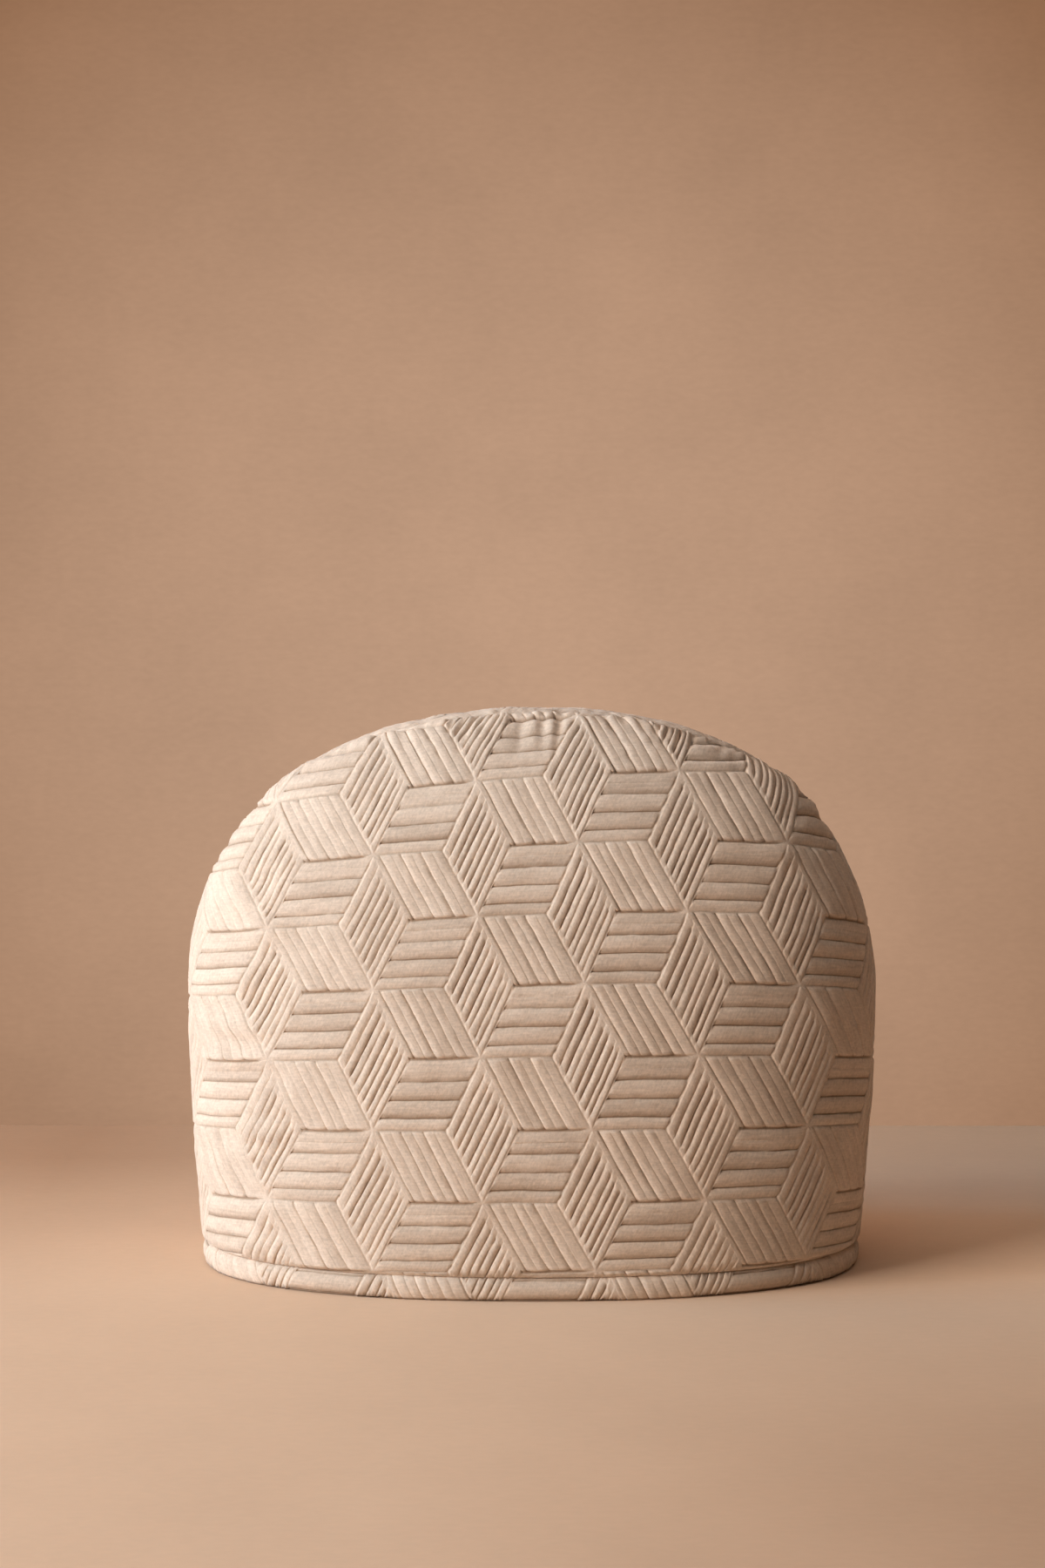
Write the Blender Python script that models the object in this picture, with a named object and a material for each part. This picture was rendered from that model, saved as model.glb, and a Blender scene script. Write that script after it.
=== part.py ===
"""A tea cosy: two padded, quilted panels sewn along an arch, standing on a rolled hem. Metres, +Z up."""

import bmesh
import bpy
import numpy as np

MM = 0.001

# The dome, measured at the bottom of the quilting's grooves. The front faces -Y.
HEIGHT = 242.3 * MM
WIDEST_Z = 112 * MM
HALF_WIDTH = 150 * MM
HEM_HALF_WIDTH = 142.5 * MM
HALF_DEPTH = 84 * MM
ARCH_POWER = 2.3  # 2 is an ellipse, more is squarer
TAPER_POWER = 1.6
DEPTH_POWER = 1.9
PLAN_POWER = 2.3
WALL = 8 * MM  # cloth, padding and cloth
GAP = 0.3 * MM  # between touching pieces

# The hem, a soft roll that stands a little proud of the panels.
HEM_HEIGHT = 9.5 * MM
HEM_RIB = 0.6 * MM
HEM_STATIONS = 176
HEM_WAVES = 8  # times round the hem that its ribs lean one way and then the other
HEM_LEAN = 4 * MM
HEM_SECTION = (
    # out from the dome, share of the hem's height, share of the rib
    (-1.6 * MM, 0.0, 0.0),
    (0.6 * MM, 0.3, 1.0),
    (0.6 * MM, 0.7, 1.0),
    (-1.6 * MM, 1.0, 0.0),
    (-7.8 * MM, 1.0, 0.0),
    (-8.6 * MM, 0.5, 0.0),
    (-7.8 * MM, 0.0, 0.0),
)

# The quilted pattern, tumbling blocks a little taller than they are wide.
COLUMN = 46 * MM
ROW = 58.2 * MM
FRONT_PATTERN_AT = (2.6 * MM, 70.5 * MM)  # midway between two columns and two rows of block corners
BACK_PATTERN_AT = (-9 * MM, 55 * MM)
LEAN = 0.025  # the columns lean to the left going up
FAN = 0.33  # and draw together, for each metre
DROOP = 0.26  # the rows droop at the sides, for each metre
SPREAD = 0.17  # and open out towards the upper right, for each metre
COLUMNS = range(-5, 7)
ROWS = range(-3, 6)
RIB_END = 0.06  # a rib slopes down at both its ends, over this share of its length
BLOCKS = (
    # the way its ribs run, the way they lie side by side, their number, their height
    ("side", "rising", 4, 1.3 * MM),
    ("rising", "falling", 8, 1.0 * MM),
    ("falling", "back", 4, 1.2 * MM),
)

# The arched seam's groove, deepest over the top, and the crease above the hem.
SEAM_DIP = 1.0 * MM
SEAM_TOP_DIP = 3.8 * MM
SEAM_TOP_AT = 10 * MM
SEAM_TOP_REACH = 62 * MM
FRONT_GROOVE = 7 * MM
BACK_GROOVE = 3.5 * MM
FRONT_FADE = 5 * MM  # the ribs fade out this far from the seam
BACK_FADE = 11 * MM
PUCKER = 0.5 * MM  # small gathers along the top of the seam
PUCKER_PITCH = 15 * MM
CREASE_DIP = 0.8 * MM
CREASE_REACH = 3 * MM

OUTLINE_LOWER = 6  # straight sides of the cloth's outline, below and above the dome's widest
OUTLINE_UPPER = 22
OUTLINE_STEPS = 100
OUTLINE_TOP = 0.25 * MM  # the outline's top lies this far below the dome's
SHORTEST_EDGE = 0.4 * MM
LONGEST_EDGE = 7 * MM  # near the seam, where the cloth turns in sharply
SEAM_BAND = 9 * MM
ARC_STEPS = 240
CUTTER_SPOKES = 48
CUTTER_RINGS = 13
CUTTER_FOOT = 20 * MM
PROBE = 0.02 * MM
TINY = 1e-6

PANEL_COLOUR = (0.68, 0.58, 0.47, 1.0)
HEM_COLOUR = (0.66, 0.56, 0.45, 1.0)
CLOTH_ROUGHNESS = 0.92


def half_width(z, inset=0.0):
    """Half the dome's width at height z: a slight taper below the widest, an arch above it."""
    widest, top = HALF_WIDTH - inset, HEIGHT - inset
    rise = np.clip((z - WIDEST_Z) / (top - WIDEST_Z), 0, 1)
    above = widest * (1 - rise**ARCH_POWER) ** (1 / ARCH_POWER)
    drop = np.clip(1 - z / WIDEST_Z, 0, 1)
    return np.where(z > WIDEST_Z, above, widest - (HALF_WIDTH - HEM_HALF_WIDTH) * drop**TAPER_POWER)


def half_depth(z, inset=0.0):
    """Half the dome's depth at height z."""
    share = np.clip(z / (HEIGHT - inset), 0, 1)
    return (HALF_DEPTH - inset) * np.sqrt(1 - share**DEPTH_POWER)


def section(turn, z, inset=0.0):
    """x and y of the level section at height z, anticlockwise from the front's middle at turn 0."""
    sine, cosine = np.sin(turn), np.cos(turn)
    x = half_width(z, inset) * np.sign(sine) * np.abs(sine) ** (2 / PLAN_POWER)
    y = -half_depth(z, inset) * np.sign(cosine) * np.abs(cosine) ** (2 / PLAN_POWER)
    return x, y


def run_along(x, y):
    """The running length along each row of points."""
    steps = np.hypot(np.diff(x, axis=-1), np.diff(y, axis=-1))
    return np.concatenate([np.zeros_like(steps[..., :1]), np.cumsum(steps, axis=-1)], axis=-1)


def middle_line():
    """Lengths up the middle of the front from the floor, and the heights they reach."""
    z = HEIGHT * np.sin(np.linspace(0, np.pi / 2, ARC_STEPS))
    return run_along(z, half_depth(z)), z


def quarters(z):
    """The quarter section from the front's middle to the right side at each height, and its length."""
    x, y = section(np.linspace(0, np.pi / 2, ARC_STEPS)[None], z[:, None])
    return x, y, run_along(x, y)


def on_dome(across, up):
    """Points of the bare front this far across the cloth from its middle and this far up it."""
    z = np.interp(up, *middle_line())
    x, y, run = quarters(z)
    rows = range(len(z))
    x = np.sign(across) * [np.interp(abs(across[i]), run[i], x[i]) for i in rows]
    y = np.array([np.interp(abs(across[i]), run[i], y[i]) for i in rows])
    return np.stack([x, y, z], axis=1)


def outward(points):
    """Unit normals of the bare dome, from the way |x/width|^p + |y/depth|^p grows about each point."""

    def field(p):
        z = np.minimum(p[:, 2], HEIGHT - MM)
        return np.abs(p[:, 0] / half_width(z)) ** PLAN_POWER + np.abs(p[:, 1] / half_depth(z)) ** PLAN_POWER

    below = points - [0, 0, 2 * PROBE]
    slope = np.stack([field(below + step) - field(below - step) for step in np.eye(3) * PROBE], axis=1)
    slope[points[:, 2] > HEIGHT - MM] = (0, 0, 1)
    return slope / np.linalg.norm(slope, axis=1, keepdims=True)


def outline(z):
    """The right side of the cut cloth at these heights: how far across, and how far up."""
    lengths, heights = middle_line()
    return np.stack([quarters(z)[2][:, -1], np.interp(z, heights, lengths)], axis=1)


def outline_heights(lower, upper):
    """Heights from the hem to the top, closer together where the outline turns in."""
    foot = np.linspace(HEM_HEIGHT + GAP, WIDEST_Z, lower, endpoint=False)
    turn = np.linspace(0, np.pi / 2, upper + 1)
    return np.concatenate([foot, WIDEST_Z + (HEIGHT - OUTLINE_TOP - WIDEST_Z) * np.sin(turn)])


def laid(across, up, origin):
    """Where a point of the even pattern lies on the cloth, as it leans, fans and droops."""
    x = across - LEAN * up - FAN * across * up
    y = up - DROOP * across**2 + SPREAD * up * (across + up)
    return origin[0] + x, origin[1] + y


def block_lines(corner, along, across, ribs, height, neighbour_ribs):
    """Lines along a block: its edges, its grooves and the raised crowns between them."""
    edge = np.arange(neighbour_ribs + 1) / neighbour_ribs  # the neighbour's grooves end on this edge
    lines = []
    for strip in range(2 * ribs + 1):
        if strip in (0, 2 * ribs):
            steps, raised = edge, 0
        elif strip % 2:
            steps, raised = (RIB_END, 0.5, 1 - RIB_END), height
        else:
            steps, raised = (0, 0.5, 1), 0
        start = corner + across * strip / ribs / 2
        lines.append([(step, (*(start + along * step), raised)) for step in steps])
    return lines


def ladder(left, right):
    """Triangles between two lines of a block, stepping along whichever line lags."""
    i = j = 0
    while i < len(left) - 1 or j < len(right) - 1:
        left_lags = j == len(right) - 1 or (i < len(left) - 1 and left[i + 1][0] <= right[j + 1][0])
        third = left[i + 1] if left_lags else right[j + 1]
        yield right[j][1], left[i][1], third[1]
        i, j = (i + 1, j) if left_lags else (i, j + 1)


def block_triangles(lines):
    """A block's surface between its lines, with a triangle at each end of each rib."""
    for left, right in zip(lines, lines[1:]):
        yield from ladder(left, right)
    for below, crown, above in zip(lines[::2], lines[1::2], lines[2::2]):
        yield below[0][1], crown[0][1], above[0][1]
        yield below[-1][1], above[-1][1], crown[-1][1]


def quilted_cloth(origin):
    """The flat pattern over more than the panel: x is across, y is up and z is the relief."""
    cloth = bmesh.new()
    ways = {
        "side": np.array([COLUMN * 2 / 3, 0]),
        "rising": np.array([COLUMN / 3, ROW / 2]),
        "falling": np.array([-COLUMN / 3, ROW / 2]),
        "back": np.array([-COLUMN * 2 / 3, 0]),
    }
    neighbours = [BLOCKS[i - 1][2] for i in range(len(BLOCKS))]  # the ribs that end on a block's edges
    for column in COLUMNS:
        for row in ROWS:
            corner = np.array([COLUMN * (column - 0.5), ROW * (row - 0.5 + column % 2 / 2)])
            for (along, across, ribs, height), neighbour_ribs in zip(BLOCKS, neighbours):
                lines = block_lines(corner, ways[along], ways[across], ribs, height, neighbour_ribs)
                for triangle in block_triangles(lines):
                    cloth.faces.new([cloth.verts.new(point) for point in triangle])
    bmesh.ops.remove_doubles(cloth, verts=cloth.verts, dist=PROBE)
    for vert in cloth.verts:
        vert.co.x, vert.co.y = laid(vert.co.x, vert.co.y, origin)
    return cloth


def cut_to_outline(cloth, right_side):
    """Cuts the flat cloth along straight lines from point to point of its outline, on both sides."""
    foot, top = right_side[0, 1], right_side[-1, 1]
    cuts = [((0, foot), (0, -1)), ((0, top), (0, 1))]
    for start, end in zip(right_side, right_side[1:]):
        x, y = end - start
        cuts += [(start, (y, -x)), ((-start[0], start[1]), (-y, -x))]
    for point, away in cuts:
        parts = cloth.verts[:] + cloth.edges[:] + cloth.faces[:]
        bmesh.ops.bisect_plane(
            cloth, geom=parts, dist=TINY, plane_co=(*point, 0), plane_no=(*away, 0), clear_outer=True
        )
    rim = {vert for edge in cloth.edges if edge.is_boundary for vert in edge.verts}
    near = rim | {edge.other_vert(vert) for vert in rim for edge in vert.link_edges}
    bmesh.ops.remove_doubles(cloth, verts=list(near), dist=SHORTEST_EDGE)


def refine_near_seam(cloth, right_side):
    """Halves the long edges that lie near the arch, so that the cloth can turn in there."""
    both = np.concatenate([right_side, right_side * [-1, 1]])

    def near(vert):
        return np.hypot(*(both - vert.co[:2]).T).min() < SEAM_BAND

    long = [e for e in cloth.edges if e.calc_length() > LONGEST_EDGE and all(map(near, e.verts))]
    bmesh.ops.subdivide_edges(cloth, edges=long, cuts=1)
    bmesh.ops.triangulate(cloth, faces=cloth.faces)


def relief(flat, points, facing, groove, rib_fade):
    """How far each point stands out: its rib, faded out at the seam and the hem, less their grooves."""

    def close_by(distance, reach):
        return np.exp(-((distance / reach) ** 2))

    x, from_seam = points[:, 0] * facing, np.abs(points[:, 1])
    by_hem = close_by(points[:, 2] - HEM_HEIGHT, CREASE_REACH)
    pucker = PUCKER * np.sin(2 * np.pi * x / PUCKER_PITCH)
    dip = SEAM_DIP + (SEAM_TOP_DIP + pucker) * close_by(x - SEAM_TOP_AT, SEAM_TOP_REACH)
    fade = np.maximum(1 - close_by(from_seam, rib_fade) - by_hem, 0)
    return flat[:, 2] * fade - dip * close_by(from_seam, groove) - CREASE_DIP * by_hem


def rim_lines(cloth, corner):
    """The flat cloth's rim from its lower left corner: along the foot, then back over the arch."""

    def square_distance(vert, x, y):
        return (vert.co.x - x) ** 2 + (vert.co.y - y) ** 2

    rim = [vert for vert in cloth.verts if vert.is_boundary]
    start = min(rim, key=lambda vert: square_distance(vert, -corner[0], corner[1]))
    line, step = [start], None
    while step is None or line[-1] is not start:
        steps = [edge for edge in line[-1].link_edges if edge.is_boundary and edge is not step]
        step = max(steps, key=lambda edge: edge.other_vert(line[-1]).co.x)
        line.append(step.other_vert(line[-1]))
    turn = min(range(len(line)), key=lambda i: square_distance(line[i], corner[0], corner[1]))
    return line[: turn + 1], line[turn:]


def close_shell(cloth, foot, arch):
    """Brings the rim to the hem's top and the seam's plane, and fills both."""
    for vert in foot:
        vert.co.z = HEM_HEIGHT + GAP
    for vert in arch:
        vert.co.y = -GAP / 2
    cloth.faces.new(foot)
    cloth.faces.new(arch)
    bmesh.ops.recalc_face_normals(cloth, faces=cloth.faces)


def panel(name, material, hollow, origin, facing, groove, rib_fade):
    """One quilted panel, made as the front one, which faces 1, or turned about to face -1."""
    cloth = quilted_cloth(origin)
    right_side = outline(outline_heights(OUTLINE_LOWER, OUTLINE_UPPER))
    cut_to_outline(cloth, right_side)
    refine_near_seam(cloth, outline(outline_heights(OUTLINE_STEPS, OUTLINE_STEPS)))
    foot, arch = rim_lines(cloth, right_side[0])
    flat = np.array([vert.co for vert in cloth.verts])
    points = on_dome(flat[:, 0], flat[:, 1])
    stand = relief(flat, points, facing, groove, rib_fade)
    for vert, point in zip(cloth.verts, points + outward(points) * stand[:, None]):
        vert.co = point
    close_shell(cloth, foot, arch)
    made = add_object(name, cloth, material)
    made.rotation_euler.z = 0 if facing > 0 else np.pi
    cut = made.modifiers.new("hollow", "BOOLEAN")
    cut.object = hollow
    cut.solver = "EXACT"
    return made


def inner_hollow():
    """The space inside the cloth, as a closed dome that also reaches down past the hem."""
    shape = bmesh.new()
    turn = np.linspace(0, 2 * np.pi, CUTTER_SPOKES, endpoint=False)
    rise = np.sin(np.linspace(0, np.pi / 2, CUTTER_RINGS, endpoint=False))
    rings = []
    for z in [-CUTTER_FOOT, *(rise * (HEIGHT - WALL))]:
        x, y = section(turn, max(z, 0.0), WALL)
        rings.append([shape.verts.new((*place, z)) for place in zip(x, y)])
    top = shape.verts.new((0, 0, HEIGHT - WALL))
    shape.faces.new(rings[0])
    for lower, upper in zip(rings, rings[1:]):
        join_rings(shape, lower, upper)
    for left, right in zip(rings[-1], rings[-1][1:] + rings[-1][:1]):
        shape.faces.new((left, right, top))
    bmesh.ops.recalc_face_normals(shape, faces=shape.faces)
    made = add_object("inner_hollow", shape, None)
    made.hide_render = True
    made.display_type = "WIRE"
    return made


def join_rings(shape, lower, upper):
    """Faces all the way round between two rings with as many points."""
    for i in range(len(lower)):
        j = (i + 1) % len(lower)
        shape.faces.new((lower[i], lower[j], upper[j], upper[i]))


def hem_ring(out, up, rib):
    """Points round the hem at one place of its section: ribs stand out at every second station."""
    x, y = section(np.linspace(0, 2 * np.pi, 4 * ARC_STEPS), HEM_HEIGHT)
    run = run_along(x, y)
    station = np.arange(HEM_STATIONS)
    share = station / HEM_STATIONS
    lean = HEM_LEAN * (up - 0.5) * np.tanh(3 * np.sin(2 * np.pi * HEM_WAVES * share))
    place = (share * run[-1] + lean) % run[-1]
    ahead = (place + MM) % run[-1]
    x, y, next_x, next_y = [np.interp(at, run, side) for at in (place, ahead) for side in (x, y)]
    away = np.stack([next_y - y, x - next_x], axis=1) / MM
    stand = out + HEM_RIB * rib * (station % 2)
    points = np.stack([x, y], axis=1) + away * stand[:, None]
    return [(*point, up * HEM_HEIGHT) for point in points]


def hem_binding(material):
    """The roll round the lower edge, with a flat underside."""
    shape = bmesh.new()
    rings = [[shape.verts.new(point) for point in hem_ring(*row)] for row in HEM_SECTION]
    for lower, upper in zip(rings, rings[1:] + rings[:1]):
        join_rings(shape, lower, upper)
    bmesh.ops.recalc_face_normals(shape, faces=shape.faces)
    return add_object("hem_binding", shape, material)


def add_object(name, shape, material):
    """Puts the finished shape into the scene under its name."""
    mesh = bpy.data.meshes.new(name)
    shape.to_mesh(mesh)
    shape.free()
    mesh.shade_smooth()
    if material:
        mesh.materials.append(material)
    made = bpy.data.objects.new(name, mesh)
    bpy.context.collection.objects.link(made)
    return made


def cloth_material(name, colour):
    """Matte cream cotton."""
    material = bpy.data.materials.new(name)
    material.use_nodes = True
    shader = material.node_tree.nodes["Principled BSDF"]
    shader.inputs["Base Color"].default_value = colour
    shader.inputs["Roughness"].default_value = CLOTH_ROUGHNESS
    shader.inputs["Metallic"].default_value = 0.0
    return material


def main():
    for old in list(bpy.data.objects):
        bpy.data.objects.remove(old, do_unlink=True)
    hollow = inner_hollow()
    front = cloth_material("front_cloth", PANEL_COLOUR)
    back = cloth_material("back_cloth", PANEL_COLOUR)
    panel("front_panel", front, hollow, FRONT_PATTERN_AT, 1, FRONT_GROOVE, FRONT_FADE)
    panel("back_panel", back, hollow, BACK_PATTERN_AT, -1, BACK_GROOVE, BACK_FADE)
    hem_binding(cloth_material("hem_cloth", HEM_COLOUR))


main()
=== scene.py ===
import math

import bmesh
import bpy
import numpy as np
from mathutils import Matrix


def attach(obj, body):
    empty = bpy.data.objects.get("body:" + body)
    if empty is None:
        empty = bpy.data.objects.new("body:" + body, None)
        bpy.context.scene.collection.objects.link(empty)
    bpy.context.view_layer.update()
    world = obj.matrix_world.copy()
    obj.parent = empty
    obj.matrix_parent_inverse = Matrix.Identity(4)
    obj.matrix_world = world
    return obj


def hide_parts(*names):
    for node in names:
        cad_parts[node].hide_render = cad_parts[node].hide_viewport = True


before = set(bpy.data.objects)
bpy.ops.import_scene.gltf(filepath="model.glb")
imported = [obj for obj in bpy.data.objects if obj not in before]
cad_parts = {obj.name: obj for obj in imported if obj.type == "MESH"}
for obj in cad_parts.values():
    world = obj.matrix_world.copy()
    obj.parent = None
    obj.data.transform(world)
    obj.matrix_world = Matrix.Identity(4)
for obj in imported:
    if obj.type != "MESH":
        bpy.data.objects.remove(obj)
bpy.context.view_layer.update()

mm = 0.001
tiny = 1e-9  # keeps points off the dome's very top, where its slope has no end
probe = 1e-6  # a step too small to see
scene = bpy.context.scene

# the dome that both panels lie on
dome = dict(
    height=242.3 * mm,
    widestZ=112 * mm,
    halfWidth=150 * mm,
    hemHalfWidth=142.5 * mm,
    halfDepth=84 * mm,
    archPower=2.3,
    taperPower=1.6,
    depthPower=1.9,
    planPower=2.3,
    wall=8 * mm,
    foot=9.8 * mm,  # where the panels start, above the hem
    ridgeFrom=150 * mm,  # the height above which the seam runs over the top
    ridgeFull=200 * mm,  # and above which the cloth is wholly part of the top
)


# half width at height z: below the widest it loses a share (1 - z / widest) ** 1.6 of the taper,
# above it follows 1 - rise ** 2.3, to the power 1 / 2.3
def halfWidthAt(z, inset=0.0):
    widest, top = dome["halfWidth"] - inset, dome["height"] - inset
    rise = np.clip((z - dome["widestZ"]) / (top - dome["widestZ"]), 0, 1)
    above = widest * (1 - rise ** dome["archPower"]) ** (1 / dome["archPower"])
    drop = np.clip(1 - z / dome["widestZ"], 0, 1) ** dome["taperPower"]
    return np.where(z > dome["widestZ"], above, widest - (dome["halfWidth"] - dome["hemHalfWidth"]) * drop)


# half depth at height z: the square root of 1 - (z / height) ** 1.9, times the depth at the floor
def halfDepthAt(z, inset=0.0):
    share = np.clip(z / (dome["height"] - inset), 0, 1)
    return (dome["halfDepth"] - inset) * np.sqrt(1 - share ** dome["depthPower"])


# a unit level section: sine and cosine of the turn, each to the power 2 / 2.3
def unitSection(turn):
    power = 2 / dome["planPower"]
    sine, cosine = np.sin(turn), np.cos(turn)
    return np.sign(sine) * np.abs(sine) ** power, -np.sign(cosine) * np.abs(cosine) ** power


# the running length along each row of points: the sum of the steps so far
def runAlong(x, y):
    steps = np.hypot(np.diff(x, axis=-1), np.diff(y, axis=-1))
    return np.concatenate([np.zeros_like(steps[..., :1]), np.cumsum(steps, axis=-1)], axis=-1)


# tables of the front right quarter: for each level, x and y at even shares of the way from the middle to the side
def domeTable(levels=500, shares=300, turns=1200):
    z = dome["height"] * np.sin(np.linspace(0, np.pi / 2, levels))
    z[-1] -= tiny
    x, y = unitSection(np.linspace(0, np.pi / 2, turns))
    wide, deep = halfWidthAt(z), halfDepthAt(z)
    run = runAlong(x[None] * wide[:, None], y[None] * deep[:, None])
    even = np.linspace(0, 1, shares)
    table = [[np.interp(even, r / r[-1], side) for side in (x, y)] for r in run]
    up = runAlong(z, deep)
    return dict(z=z, up=up, quarter=run[:, -1], unit=np.array(table))


table = domeTable()
upTop = table["up"][-1]
upFoot = np.interp(dome["foot"], table["z"], table["up"])


# straight mixing inside a table of levels by shares
def lookUp(values, level, share):
    row, column = [np.clip(v, 0, n - 1.001) for v, n in ((level, values.shape[0]), (share, values.shape[1]))]
    i, j = row.astype(int), column.astype(int)
    fi, fj = (row - i)[:, None], (column - j)[:, None]
    low = values[i, j] * (1 - fj) + values[i, j + 1] * fj
    high = values[i + 1, j] * (1 - fj) + values[i + 1, j + 1] * fj
    return low * (1 - fi) + high * fi


# how far up the cloth a point is past the dome's top ridge; only near the top
def ridgePast(across, up):
    high = table["z"] > dome["ridgeFrom"]
    ridge = np.interp(np.abs(across), table["quarter"][high][::-1], table["up"][high][::-1])
    return np.where(np.abs(across) < table["quarter"][high][0], up - ridge, -1)


# points past the ridge: level with it to the side, behind it by the way the cloth has run on (less where the
# ridge is steep), and up where |x / width|^p + |y / depth|^p is 1, found by halving
def overRidge(across, up, past, halvings=40):
    z = np.interp(up - past, table["up"], table["z"])
    x = np.sign(across) * halfWidthAt(z)
    slope = np.interp(up - past, table["up"], -np.gradient(table["quarter"], table["up"]))
    y = np.minimum(past * np.clip(slope, 0, 1), dome["halfDepth"] / 2)
    low, high = np.full(len(x), dome["ridgeFrom"] / 2), np.minimum(z + probe, dome["height"] - tiny)
    for _ in range(halvings):
        middle = (low + high) / 2
        power = dome["planPower"]
        inside = np.abs(x / halfWidthAt(middle)) ** power + np.abs(y / halfDepthAt(middle)) ** power < 1
        low, high = np.where(inside, middle, low), np.where(inside, high, middle)
    return np.stack([x, y, low], axis=1)


# points and normals of the bare dome this far across the cloth from its middle and this far up it;
# past the side the cloth goes on round the back, and the normal is the slope of |x / width|^p + |y / depth|^p
def onDome(across, up):
    level = np.interp(up, table["up"], np.arange(len(table["up"])))
    z = np.interp(level, np.arange(len(table["z"])), table["z"])
    wide, deep = halfWidthAt(z), halfDepthAt(z)
    quarter = np.interp(level, np.arange(len(table["quarter"])), table["quarter"])
    share = np.abs(across) / quarter
    behind = share > 1
    share = np.where(behind, 2 - share, share)
    unit = lookUp(table["unit"].transpose(0, 2, 1), level, share * (table["unit"].shape[2] - 1))
    side, face = unit[:, 0] * np.sign(across), unit[:, 1] * np.where(behind, -1, 1)
    points = np.stack([side * wide, face * deep, z], axis=1)
    past = ridgePast(across, up)
    over = past > 0
    if over.any():
        points[over] = overRidge(across[over], up[over], past[over])
        z = points[:, 2]
        wide, deep = halfWidthAt(z), halfDepthAt(z)
        side, face = points[:, 0] / wide, points[:, 1] / deep
    power = dome["planPower"]
    wideSlope = (halfWidthAt(z + probe) - halfWidthAt(z - probe)) / (2 * probe)
    deepSlope = (halfDepthAt(z + probe) - halfDepthAt(z - probe)) / (2 * probe)
    normal = np.stack([
        np.sign(side) * np.abs(side) ** (power - 1) / wide,
        np.sign(face) * np.abs(face) ** (power - 1) / deep,
        -(np.abs(side) ** power * wideSlope / wide + np.abs(face) ** power * deepSlope / deep),
    ], axis=1)
    return points, normal / np.linalg.norm(normal, axis=1, keepdims=True)


# smooth noise from -1 to 1: a mean of sines that run in seeded directions, about one wave to each size
def softNoise(x, y, size, seed, waves=14):
    random = np.random.default_rng(seed)
    angle, phase = random.uniform(0, 2 * np.pi, (2, waves))
    pace = 2 * np.pi / (size * random.uniform(0.7, 1.5, waves))
    total = sum(np.sin(p * (x * np.cos(a) + y * np.sin(a)) + f) for a, p, f in zip(angle, pace, phase))
    return total / waves ** 0.5


# 0 below start, 1 above end, and between them 3 times the share's square less twice its cube
def smoothStep(value, start, end):
    share = np.clip((value - start) / (end - start), 0, 1)
    return share * share * (3 - 2 * share)


# a bell: e to the power of minus (distance / reach) squared, near nothing twice the reach away
def bell(distance, reach):
    return np.exp(-((distance / reach) ** 2))


# the quilting, tumbling blocks of ribs
quilt = dict(
    column=46 * mm,
    row=58.2 * mm,
    stripes=8,  # a groove's place across its block is given in eighths
    edgePlaces=(0, 0.03, 0.06, 0.1, 0.15, 0.22, 0.3, 0.4, 0.5, 0.6, 0.7, 0.78, 0.85, 0.9, 0.94, 0.97),
    sideSteps=(0.25 * mm, 0.55 * mm, 1.0 * mm),  # the mesh lines beside a block's edge
    grooveSteps=(-0.5 * mm, -0.22 * mm, 0, 0.22 * mm, 0.5 * mm),  # and beside a groove
    widestStep=2.2 * mm,
    snap=0.006 * mm,  # points nearer than this to a cut are taken to lie on it
    alongEnds=(0.008, 0.018, 0.032, 0.055, 0.072, 0.088, 0.11),
    fineSteps=26,
    coarseStep=0.13,  # the longest share of a rib between mesh lines where the mesh isn't fine
    lift=1.1 * mm,  # how far the cloth stands above the lines round the blocks
    lineReach=0.42 * mm,
    lineStop=(0.75, 0.84, 0.93),  # how much of a block's far line is missing at its end, and between which shares
    lineStart=(0.8, 0.0, 0.08),  # how much of that is missing at its start too, and between which shares
    lineWindow=0.3 * mm,  # how near its edges a block's own relief begins
    scallop=0.8,  # how much wider a line is between two ribs than at the middle of a rib's end
    padReach=3.0 * mm,  # the soft pad where six blocks meet
    padHeight=0.85 * mm,
    wobble=0.10 * mm,
    wobbleSize=24 * mm,
    shadeFrom=0.15 * mm,  # cloth this low has the full painted shade of the grooves, and this much higher its own colour
    shadeOver=0.6 * mm,
    plainShade=0.7,  # and plain cloth has some of that painted shade, between the two
)
# how unevenly the blocks are sewn and stuffed; lengths with no unit are in mm
uneven = dict(
    most=20,  # more grooves than any block has
    band=(0.85, 1.2),
    bandEnd=(0.4 * mm, 0.8 * mm),
    depth=(0.6, 1.4),
    depthWave=(0.3, 11 * mm),  # how much a groove's depth and place wave along it, and the waves' size
    slip=0.12,
    slipWave=(0.08 * mm, 9 * mm),
    tilt=0.03,
    tones=(0.7, 0.3),  # each rib's and each block's share of the tone
)
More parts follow.
